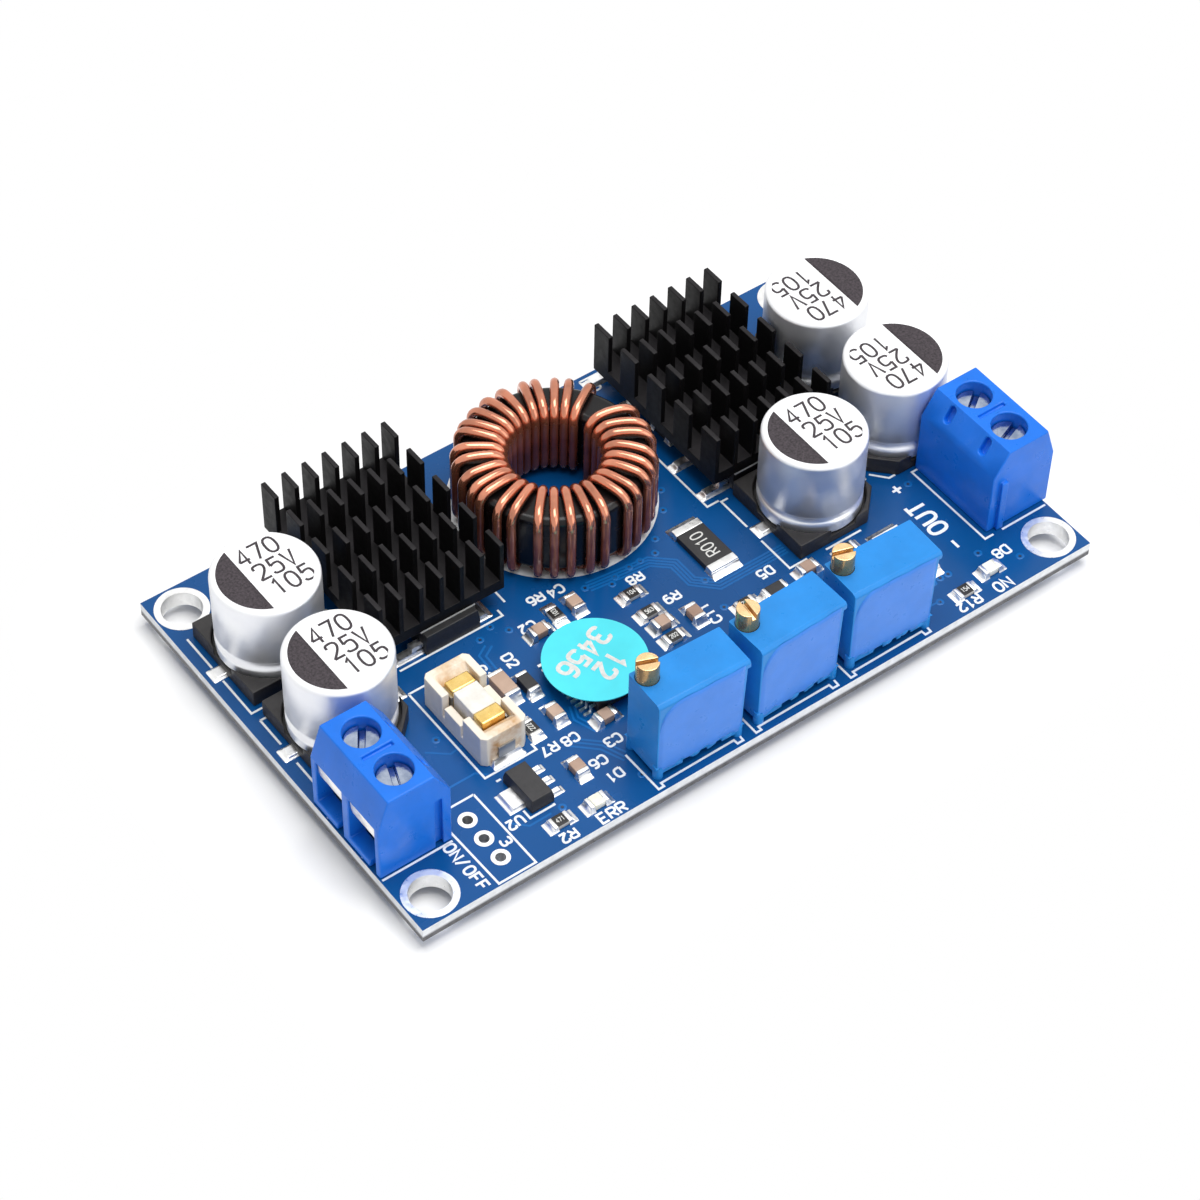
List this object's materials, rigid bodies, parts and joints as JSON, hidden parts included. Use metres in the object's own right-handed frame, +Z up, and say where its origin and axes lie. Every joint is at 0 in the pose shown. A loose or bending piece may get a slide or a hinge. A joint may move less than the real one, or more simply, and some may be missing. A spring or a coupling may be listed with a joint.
{
  "type": "buck-boost converter module",
  "caption": "Blue power converter board with screw terminals, can capacitors, a copper-wound ring inductor, finned black heatsinks, blue trimmers and a fuse holder.",
  "frame": {"origin": "centre of the four mounting holes, on the underside of the board", "axes": "+X from the input terminal to the output terminal, +Y from the trimmers to the heatsinks, +Z up from the board"},
  "size_m": [0.0781, 0.0466, 0.0149],
  "materials": {
    "board": "glossy solder mask",
    "plating": "bright tin plate",
    "can": "satin",
    "base": "matte",
    "lead": "tinned",
    "heatsink": "black anodised",
    "thermal_pad": "matte",
    "package": "moulded",
    "core": "varnished black",
    "copper": "bare copper",
    "terminal": "glossy",
    "screw": "zinc plated",
    "clamp": "nickel plated",
    "contact": "tinned brass",
    "trimmer": "satin",
    "adjuster": "turned",
    "holder": "ivory",
    "clip": "tinned",
    "fuse_tube": "matte",
    "fuse_cap": "gold plated",
    "shunt": "coated",
    "sticker": "matte",
    "lamp": "clear",
    "resistor": "coated",
    "ceramic_capacitor": "fired"
  },
  "bodies": {
    "module": {"circuit_board": "board", "mounting_hole_plating": "plating", "header_plating": "plating", "input_capacitor_front": "can", "input_capacitor_rear": "can", "output_capacitor_front": "can", "output_capacitor_rear": "can", "output_capacitor_middle": "can", "input_base_front": "base", "input_base_rear": "base", "output_base_front": "base", "output_base_rear": "base", "output_base_middle": "base", "capacitor_leads": "lead", "transistor_leads": "lead", "trimmer_pins": "lead", "regulator_leads": "lead", "control_chip_leads": "lead", "chip_ends": "lead", "input_heatsink": "heatsink", "output_heatsink": "heatsink", "input_thermal_pad": "thermal_pad", "output_thermal_pad": "thermal_pad", "input_transistor_front": "package", "input_transistor_rear": "package", "output_transistor_front": "package", "output_transistor_rear": "package", "regulator": "package", "control_chip": "package", "diodes": "package", "inductor_core": "core", "inductor_winding": "copper", "input_terminal_housing": "terminal", "output_terminal_housing": "terminal", "input_contacts": "contact", "output_contacts": "contact", "trimmer_case_1": "trimmer", "trimmer_case_2": "trimmer", "trimmer_case_3": "trimmer", "fuse_holder": "holder", "fuse_clips": "clip", "fuse_tube": "fuse_tube", "fuse_caps": "fuse_cap", "middle_shunt": "shunt", "output_shunt": "shunt", "round_sticker": "sticker", "indicator_lamps": "lamp", "chip_resistors": "resistor", "chip_capacitors": "ceramic_capacitor"},
    "input_screw_front_body": {"input_screw_front": "screw"},
    "input_clamp_front_body": {"input_clamp_front": "clamp"},
    "input_screw_rear_body": {"input_screw_rear": "screw"},
    "input_clamp_rear_body": {"input_clamp_rear": "clamp"},
    "output_screw_front_body": {"output_screw_front": "screw"},
    "output_clamp_front_body": {"output_clamp_front": "clamp"},
    "output_screw_rear_body": {"output_screw_rear": "screw"},
    "output_clamp_rear_body": {"output_clamp_rear": "clamp"},
    "trimmer_screw_1_body": {"trimmer_screw_1": "adjuster"},
    "trimmer_screw_2_body": {"trimmer_screw_2": "adjuster"},
    "trimmer_screw_3_body": {"trimmer_screw_3": "adjuster"}
  },
  "joints": [
    {"name": "input_screw_front_turn", "type": "hinge", "parent": "module", "child": "input_screw_front_body", "pos_m": [-0.03495, -0.01374, 0.0086], "axis": [0, 0, -1], "range_deg": [0, 1601]},
    {"name": "input_clamp_front_lift", "type": "slide", "parent": "module", "child": "input_clamp_front_body", "axis": [0, 0, 1], "range_m": [0, 0.002]},
    {"name": "input_screw_rear_turn", "type": "hinge", "parent": "module", "child": "input_screw_rear_body", "pos_m": [-0.03495, -0.00866, 0.0086], "axis": [0, 0, -1], "range_deg": [0, 1601]},
    {"name": "input_clamp_rear_lift", "type": "slide", "parent": "module", "child": "input_clamp_rear_body", "axis": [0, 0, 1], "range_m": [0, 0.002]},
    {"name": "output_screw_front_turn", "type": "hinge", "parent": "module", "child": "output_screw_front_body", "pos_m": [0.03555, -0.01359, 0.0086], "axis": [0, 0, -1], "range_deg": [0, 1601]},
    {"name": "output_clamp_front_lift", "type": "slide", "parent": "module", "child": "output_clamp_front_body", "axis": [0, 0, 1], "range_m": [0, 0.002]},
    {"name": "output_screw_rear_turn", "type": "hinge", "parent": "module", "child": "output_screw_rear_body", "pos_m": [0.03555, -0.00851, 0.0086], "axis": [0, 0, -1], "range_deg": [0, 1601]},
    {"name": "output_clamp_rear_lift", "type": "slide", "parent": "module", "child": "output_clamp_rear_body", "axis": [0, 0, 1], "range_m": [0, 0.002]},
    {"name": "trimmer_screw_1_turn", "type": "hinge", "parent": "module", "child": "trimmer_screw_1_body", "pos_m": [-0.01096, -0.01826, 0.0116], "axis": [0, 0, 1], "continuous": true},
    {"name": "trimmer_screw_2_turn", "type": "hinge", "parent": "module", "child": "trimmer_screw_2_body", "pos_m": [0.00011, -0.01851, 0.0116], "axis": [0, 0, 1], "continuous": true},
    {"name": "trimmer_screw_3_turn", "type": "hinge", "parent": "module", "child": "trimmer_screw_3_body", "pos_m": [0.01134, -0.01826, 0.0116], "axis": [0, 0, 1], "continuous": true}
  ],
  "couplings": [
    {"joint": "input_screw_front_turn", "follows": "input_clamp_front_lift", "rad_per_m": 13963},
    {"joint": "input_screw_rear_turn", "follows": "input_clamp_rear_lift", "rad_per_m": 13963},
    {"joint": "output_screw_front_turn", "follows": "output_clamp_front_lift", "rad_per_m": 13963},
    {"joint": "output_screw_rear_turn", "follows": "output_clamp_rear_lift", "rad_per_m": 13963}
  ]
}
